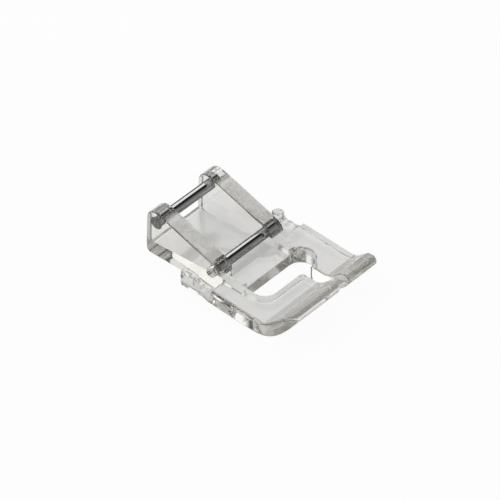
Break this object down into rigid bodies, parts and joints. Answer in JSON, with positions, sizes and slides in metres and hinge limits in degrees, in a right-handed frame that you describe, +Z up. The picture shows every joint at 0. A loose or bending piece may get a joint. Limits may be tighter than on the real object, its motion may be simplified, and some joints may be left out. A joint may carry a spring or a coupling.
{
  "type": "sewing machine presser foot",
  "caption": "Clear moulded sewing machine presser foot: sole plate with curled toes, needle slot and thread channel, bossed cheeks and polished steel cross pins for a clip-on ankle.",
  "frame": {"origin": "middle of the foot's length and width, on the plane of the sole", "axes": "+X to the operator's right, -Y towards the toes, +Z up from the sole"},
  "size_m": [0.024, 0.0353, 0.0099],
  "materials": {
    "clear_plastic": "clear, polished moulding",
    "pin_steel": "ground and polished bar"
  },
  "bodies": {
    "root": {"foot_body": "clear_plastic", "rear_pin": "pin_steel", "front_pin": "pin_steel"}
  },
  "joints": []
}
